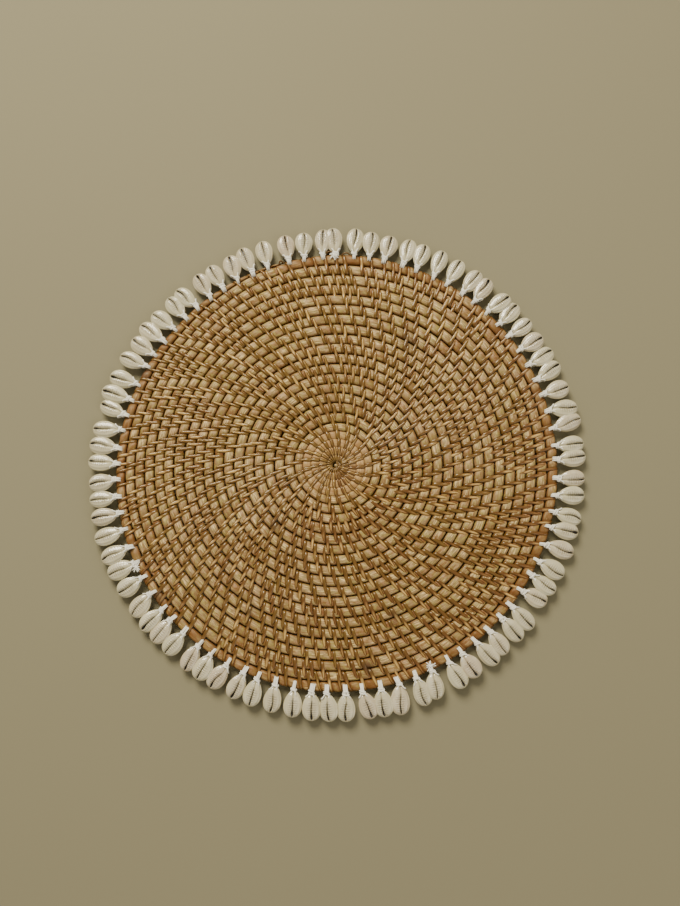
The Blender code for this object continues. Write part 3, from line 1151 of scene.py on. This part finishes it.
class PLACEMAT_OT_cowries(bpy.types.Operator):
    """Model the cowrie shells, mouth side up, three to each run of the edging"""

    bl_idname = "placemat.cowries"
    bl_label = "Cowrie shells"

    ALONG = 30
    DOME = 8
    TIP_OUT = 0.6 * MM
    MID_HEIGHT = 5.7 * MM
    MOUTH_HEIGHT = 2.5 * MM
    DOME_DEPTH = 5.5 * MM
    LEAST_OPEN = 0.04
    LEAST_HEIGHT = 0.05 * MM
    # Random numbers: shares of a middling shell's sizes and blush, the mouth's bend, offset and
    # notch in millimetres, and how far a shell tips.
    LENGTH = (1.0, 0.035, 0.93, 1.08)
    WIDTH = (1.0, 0.04, 0.90, 1.07)
    MOUTH_WIDTH = (0.65, 1.5)
    BLUSH = (0.25, 0.25, 0.0, 1.0)
    CURL, DRIFT = 0.55, 0.45
    NOTCH = (0.02, 0.62)
    ROLL, PITCH = math.radians(7.0), math.radians(2.0)
    MOST_LEAN = 0.28
    SEED = 71

    # Across a lobe, as shares of its width from the mouth to the flank.
    LOBE = np.array([0.12, 0.27, 0.43, 0.58, 0.70, 0.78, 0.84, 0.91, 1.0])
    # Ridges and furrows along a lobe: height, place across it and width.
    RIDGES = ((0.07, 0.70, 0.07), (-0.17, 0.84, 0.045), (0.06, 0.27, 0.09), (-0.06, 0.47, 0.08))
    # The mouth from lip to lip: side, millimetres wider than the slit and below the lip, and darkness, the
    # painted shade inside.
    MOUTH = np.array(
        [
            (1.0, 0.0, 0.0, 0.35),
            (1.0, -0.05, 1.0, 1.0),
            (1.0, 0.20, 2.2, 1.0),
            (-1.0, 0.20, 2.2, 1.0),
            (-1.0, -0.05, 1.0, 1.0),
            (-1.0, 0.0, 0.0, 0.35),
        ]
    )

    def lobe_profile(self):
        """A lobe's height across it, as a share of the crown's."""
        arch = np.clip(1.0 - self.LOBE**2.6, 0.0, 1.0) ** 0.60
        lip = 1.0 - 0.30 * bell(self.LOBE, 0.0, 0.15)
        return arch * lip + sum(height * bell(self.LOBE, *at) for height, *at in self.RIDGES)

    def shell(self, length, width, curl, drift, mouth, notch):
        """Rings of one shell along +X, its narrow end at the origin and its mouth up.

        With them come how near the mouth each corner is and how much painted shade it gets inside the
        mouth.
        """
        along = -np.cos(np.linspace(0.02, math.pi - 0.02, self.ALONG))[:, None]
        round_off = np.sqrt(1.0 - along**2)
        half_width = 0.5 * width * round_off**0.95 * (0.98 + 0.17 * along - 0.06 * along**2)
        crown = self.MOUTH_HEIGHT * (1.0 - along**4) ** 0.5 * (1.0 + 0.06 * along)
        depth = self.DOME_DEPTH * round_off * (1.0 + 0.16 * along - 0.10 * along**2)

        opened = smooth_step(along, -0.62, -0.10) * (1.0 - smooth_step(along, 0.88, 0.97))
        opened = np.maximum(opened, self.LEAST_OPEN)
        outer_part = smooth_step(along, 0.05, 0.55)
        half_mouth = opened * (0.5 * mouth * lerp(0.60, 1.0, outer_part) + notch * bell(along, 0.74, 0.16))
        middle = (curl * np.sin(2.6 * along + 0.5) + drift) * round_off
        side, wider, deep, dark = self.MOUTH.T
        mouth_across = middle + side * (half_mouth + wider * MM * opened)
        mouth_height = 0.66 * crown - deep * MM * opened

        left, right = middle - half_mouth, middle + half_mouth
        left_lobe = left + (-half_width - left) * self.LOBE
        right_lobe = right + (half_width - right) * self.LOBE
        lobe_height = crown * self.lobe_profile()
        under = np.linspace(0.0, math.pi, self.DOME + 2)[1:-1]
        dome_across = -half_width * np.cos(under)
        dome_height = -depth * np.sin(under) ** 0.92
        across = np.concatenate([right_lobe[:, ::-1], mouth_across, left_lobe, dome_across], axis=1)
        height = np.concatenate([lobe_height[:, ::-1], mouth_height, lobe_height, dome_height], axis=1)
        forward = np.broadcast_to(0.5 * length * (along + 1.0), across.shape)

        lobe_near, lobe_dark = 1.0 - self.LOBE, np.zeros(len(self.LOBE))
        dome_near = np.zeros(self.DOME)
        near = np.concatenate([lobe_near[::-1], np.ones(len(dark)), lobe_near, dome_near])
        inside = np.concatenate([lobe_dark, dark, lobe_dark, dome_near])
        rings = np.stack([forward, across, height], axis=-1)
        return rings, near**2 * opened, inside * opened * lerp(0.85, 1.0, outer_part)

    def place(self, rings, angle, roll, lean, pitch):
        """Tip a shell a little, keep it off the floor and put its narrow end at the rim."""
        x, y, z = np.moveaxis(rings, -1, 0)
        y, z = rotated(y, z, roll)
        x, z = rotated(x, z, pitch)
        x, y = rotated(x, y, lean)
        x = x + float(rim_radius(angle)) + self.TIP_OUT
        z = z + self.MID_HEIGHT
        z = z + max(0.0, self.LEAST_HEIGHT - float(z.min()))
        x, y = rotated(x, y, angle)
        return np.stack([x, y, z], axis=-1)

    def execute(self, context):
        cowries = context.scene.placemat_cowries
        material = shell_finish(cowries)
        random = np.random.default_rng(self.SEED)
        angles = shell_angles()
        for run, node in enumerate(RUN_NODES):
            surfaces = Surfaces()
            for angle in angles[3 * run : 3 * run + 3]:
                length = cowries.length * drawn(random, *self.LENGTH)
                width = cowries.width * drawn(random, *self.WIDTH)
                curl = random.normal(0.0, self.CURL) * MM
                drift = random.normal(0.0, self.DRIFT) * MM
                mouth = cowries.mouth_width * random.uniform(*self.MOUTH_WIDTH)
                notch = random.uniform(*self.NOTCH) ** 1.6 * MM
                rings, near, inside = self.shell(length, width, curl, drift, mouth, notch)
                blush = drawn(random, *self.BLUSH)
                roll = random.normal(0.0, self.ROLL)
                lean = drawn(random, 0.0, cowries.lean, -self.MOST_LEAN, self.MOST_LEAN)
                pitch = random.normal(0.0, self.PITCH)
                rings = self.place(rings, float(angle), roll, lean, pitch)
                surfaces.add(rings, np.linspace(0.0, length, len(rings)), tints(blush, near, inside))
            settle(surfaces.build(f"cowries_{run + 1:02d}", material), "cowrie", node)
        return {"FINISHED"}


class PLACEMAT_OT_ties(bpy.types.Operator):
    """Tie every shell over the outermost row with cotton thread"""

    bl_idname = "placemat.ties"
    bl_label = "Cotton ties"

    # Round the outermost row: millimetres past the rim and height.
    ROW_LOOP = (
        (-3.7, 4.6), (-3.5, 6.2), (-2.5, 7.2), (-0.8, 7.5), (0.8, 6.9),
        (1.2, 4.2), (0.4, 1.7), (-1.1, 0.6), (-2.9, 0.6), (-3.9, 2.2),
    )
    # Round the shell's tip: millimetres past the rim, height and to one side.
    TIP_LOOP = (
        (-1.5, 7.2, 0.4), (0.2, 7.5, 1.0), (1.8, 7.7, 1.8), (3.2, 7.5, 2.7),
        (3.7, 5.7, 3.4), (2.9, 3.4, 2.4), (1.1, 2.6, 1.0), (-0.7, 4.2, 0.4),
    )
    FRAYED = (
        {"angle": 90.5, "inward": 1.6, "ends": 13},
        {"angle": 207.5, "inward": 1.0, "ends": 11},
        {"angle": 295.0, "inward": 3.6, "ends": 12},
    )
    STRAND_GAP = 0.92
    WRAPS = 2
    WRAP_HEIGHT = 6.8
    KNOT_WRAPS = 3
    KNOT_HEIGHT = 7.3
    KNOT_RADIUS = 1.1
    ROW_RINGS, TIP_RINGS, WRAP_RINGS, END_RINGS = 16, 13, 12, 8
    SIDES, THIN_SIDES = 6, 5
    PLAIN = (0.5, 0.0, 0.0, 1.0)
    STRANDS = (3, 5)
    SEED = 97

    def lay(self, surfaces, angle, past_rim, sideways, height, radius, count, looped=True):
        """Sweep a strand of some rings along a curve through places in millimetres at the rim."""
        past_rim, sideways, height = np.broadcast_arrays(past_rim, sideways, height)
        reach = float(rim_radius(angle)) + past_rim * MM
        x, y = rotated(reach, sideways * MM, angle)
        line = curve_through(np.stack([x, y, height * MM], axis=-1), count, looped)
        line[:, 2] = np.maximum(line[:, 2], 1.05 * radius)
        rings = tube_rings(line, radius, self.SIDES if looped else self.THIN_SIDES, looped)
        surfaces.add(rings, path_lengths(line), self.PLAIN, looped)

    def tie(self, surfaces, random, angle, radius):
        """Three or four strands round the row, two round the shell's tip, and two wraps."""
        past_rim, height = np.array(self.ROW_LOOP).T
        inner = np.clip(-past_rim / 5.0, 0.0, 1.0)
        strands = int(random.integers(*self.STRANDS))
        angle = angle + random.normal(0.0, 0.3) * MM / MAT_RADIUS
        tilt = random.normal(0.0, 0.12)
        spread = random.uniform(0.78, 1.0)
        for strand in range(strands):
            aside = (strand - 0.5 * (strands - 1)) * self.STRAND_GAP * spread
            sway = aside * lerp(0.90, random.uniform(0.45, 1.05), inner) + tilt * past_rim
            longer_below = 0.55 * max(0.0, -math.sin(angle))
            stretch = 1.0 + (random.normal(0.0, 0.05) + longer_below) * inner
            lift = random.normal(0.0, 0.12) + 0.25 * (strand % 2) * (height > 6.0)
            thick = radius * random.uniform(0.9, 1.15)
            self.lay(surfaces, angle, past_rim * stretch, sway, height + lift, thick, self.ROW_RINGS)
        past_rim, height, sideways = np.array(self.TIP_LOOP).T
        for side in (-1.0, 1.0):
            wide = side * random.uniform(0.75, 1.05)
            reach = 1.0 + random.normal(0.0, 0.05)
            thick = radius * random.uniform(0.9, 1.1)
            over = past_rim * reach, sideways * wide, height + 0.15 * side
            self.lay(surfaces, angle, *over, thick, self.TIP_RINGS)
        turn = np.linspace(0.0, TURN, 9)[:-1]
        for wrap in range(self.WRAPS):
            across = 1.75 * random.uniform(0.88, 1.12) * np.cos(turn)
            height = self.WRAP_HEIGHT + 1.15 * random.uniform(0.9, 1.1) * np.sin(turn)
            past_rim = wrap - 0.2 + 0.7 * np.sin(turn + random.uniform(0.0, 3.0))
            self.lay(surfaces, angle, past_rim, across, height, 1.25 * radius, self.WRAP_RINGS)

    def fray(self, surfaces, random, knot, radius):
        """A big knot whose cut ends stand out like a star."""
        angle = math.radians(knot["angle"])
        share = np.array([0.0, 0.35, 0.7, 1.0])
        for end in range(knot["ends"]):
            way = TURN * (end + random.uniform(-0.3, 0.3)) / knot["ends"]
            reach = random.uniform(2.0, 3.9)
            lift = random.uniform(0.2, 1.2)
            bow = random.normal(0.0, 0.35) * share**2
            past_rim = -knot["inward"] + reach * share * math.cos(way) + bow
            aside = reach * share * math.sin(way) - bow
            height = self.KNOT_HEIGHT + lift * np.sin(2.2 * share) - 0.5 * share
            self.lay(surfaces, angle, past_rim, aside, height, 0.8 * radius, self.END_RINGS, False)
        turn = np.linspace(0.0, TURN, 8)[:-1]
        across = self.KNOT_RADIUS * np.cos(turn)
        height = self.KNOT_HEIGHT + 0.7 * np.sin(turn)
        for _ in range(self.KNOT_WRAPS):
            way = random.uniform(0.0, math.pi)
            past_rim = -knot["inward"] + across * math.cos(way)
            aside = across * math.sin(way)
            self.lay(surfaces, angle, past_rim, aside, height, 1.1 * radius, self.WRAP_RINGS)

    def running_thread(self, surfaces, angles, radius):
        """The thread that runs from tie to tie out of sight under the rim."""
        sweep = np.sort(angles % TURN)
        middles = sweep + 0.5 * np.diff(np.append(sweep, sweep[0] + TURN))
        along = np.stack([sweep, middles], axis=-1).reshape(-1)
        reach = rim_radius(along) - np.tile([1.5, 1.9], len(sweep)) * MM
        height = np.tile([0.55, 0.75], len(sweep)) * MM
        line = curve_through(round_mat(reach, along, height), 3 * len(along), looped=True)
        rings = tube_rings(line, radius, self.THIN_SIDES, looped=True)
        surfaces.add(rings, path_lengths(line), self.PLAIN, looped=True)

    def execute(self, context):
        cotton = context.scene.placemat_cotton
        material = cotton_finish(cotton)
        random = np.random.default_rng(self.SEED)
        radius = cotton.strand_radius
        angles = shell_angles()
        for number, half in enumerate(np.array_split(angles, 2), 1):
            surfaces = Surfaces()
            nodes = []
            for angle in half:
                self.tie(surfaces, random, float(angle), radius)
            if number == 1:
                nodes = [THREAD_NODE]
                for knot in self.FRAYED:
                    self.fray(surfaces, random, knot, radius)
                self.running_thread(surfaces, angles, radius)
            settle(surfaces.build(f"cotton_ties_{number}", material), "cotton", *nodes)
        return {"FINISHED"}


class PLACEMAT_OT_stage(bpy.types.Operator):
    """Set out the floor, the lights and the camera"""

    bl_idname = "placemat.stage"
    bl_label = "Stage"

    FLOOR_SIZE = 6.0
    FLOOR_HEIGHT = -0.2 * MM
    KEY = {"place": (-0.46, 1.05, 1.25), "size": 0.85, "colour": (1.0, 0.93, 0.78)}
    FILL = {"place": (0.9, -0.7, 1.2), "size": 1.2, "colour": (1.0, 0.94, 0.82)}
    SKY = (1.0, 0.93, 0.80, 1.0)
    AIM = (2.9 * MM, 8.2 * MM, MAT_THICKNESS)
    SENSOR_WIDTH = 36.0

    def add_floor(self, stage):
        """A broad sheet of faintly mottled paper just under the mat."""
        bpy.ops.mesh.primitive_plane_add(size=self.FLOOR_SIZE, location=(0.0, 0.0, self.FLOOR_HEIGHT))
        floor = bpy.context.object
        floor.name = "floor"
        finish = Finish("floor_paper")
        mottle = finish.noise(finish.place(), 3.0, 2.0, 0.5)
        deeper = tuple(0.94 * part for part in stage.floor)
        finish.set(Base_Color=finish.mix(mottle, stage.floor, deeper), Roughness=0.85)
        floor.data.materials.append(finish.material)

    def add_light(self, name, power, place, size, colour):
        lamp = bpy.data.lights.new(name, "AREA")
        lamp.shape = "DISK"
        lamp.size = size
        lamp.energy = power
        lamp.color = colour
        light = bpy.data.objects.new(name, lamp)
        light.location = place
        light.rotation_euler = Vector(place).to_track_quat("Z", "Y").to_euler()
        bpy.context.scene.collection.objects.link(light)

    def add_sky(self, strength):
        world = bpy.data.worlds.new("soft_room")
        world.use_nodes = True
        background = world.node_tree.nodes["Background"]
        background.inputs["Color"].default_value = self.SKY
        background.inputs["Strength"].default_value = strength
        bpy.context.scene.world = world

    def add_camera(self, stage):
        """Look down at the mat's face, tilted back a little from straight down."""
        lens = bpy.data.cameras.new("view")
        lens.lens = stage.lens
        lens.sensor_width = self.SENSOR_WIDTH
        camera = bpy.data.objects.new("view", lens)
        tilt = stage.camera_tilt
        look = Vector((0.0, math.sin(tilt), -math.cos(tilt)))
        camera.location = Vector(self.AIM) - look * stage.camera_distance
        camera.rotation_euler = (tilt, 0.0, 0.0)
        bpy.context.scene.collection.objects.link(camera)
        bpy.context.scene.camera = camera

    def execute(self, context):
        stage = context.scene.placemat_stage
        self.add_floor(stage)
        self.add_light("key", stage.key_power, **self.KEY)
        self.add_light("fill", stage.fill_power, **self.FILL)
        self.add_sky(stage.sky_strength)
        self.add_camera(stage)
        return {"FINISHED"}


OPERATORS = (
    PLACEMAT_OT_core,
    PLACEMAT_OT_binding,
    PLACEMAT_OT_loose_ends,
    PLACEMAT_OT_cowries,
    PLACEMAT_OT_ties,
    PLACEMAT_OT_stage,
)


class PLACEMAT_PT_panel(bpy.types.Panel):
    """Lists the placemat's settings and the steps that build it"""

    bl_idname = "PLACEMAT_PT_panel"
    bl_label = "Coiled placemat"
    bl_space_type = "VIEW_3D"
    bl_region_type = "UI"
    bl_category = "Placemat"

    def draw(self, context):
        for key, group in SETTINGS.items():
            box = self.layout.box()
            for name in group.__annotations__:
                box.prop(getattr(context.scene, key), name)
        for operator in OPERATORS:
            self.layout.operator(operator.bl_idname)


CLASSES = (*SETTINGS.values(), *OPERATORS, PLACEMAT_PT_panel)


def register():
    for made in CLASSES:
        bpy.utils.register_class(made)
    for key, group in SETTINGS.items():
        setattr(bpy.types.Scene, key, PointerProperty(type=group))


def unregister():
    for key in SETTINGS:
        delattr(bpy.types.Scene, key)
    for made in reversed(CLASSES):
        bpy.utils.unregister_class(made)


def own_pieces():
    """The mat's own pieces by name, without the floor and the solids that they stand for."""
    kinds = ("coiled_core", "core_beginning", "loose_peel", "peel_binding", "cowries", "cotton_ties")
    return {piece.name: piece for piece in bpy.data.objects if piece.name.startswith(kinds)}


def main():
    register()
    bpy.ops.placemat.core()
    bpy.ops.placemat.binding()
    bpy.ops.placemat.loose_ends()
    bpy.ops.placemat.cowries()
    bpy.ops.placemat.ties()
    bpy.ops.placemat.stage()
    made = own_pieces()
    made.pop("coiled_core")


if __name__ == "__main__":
    main()
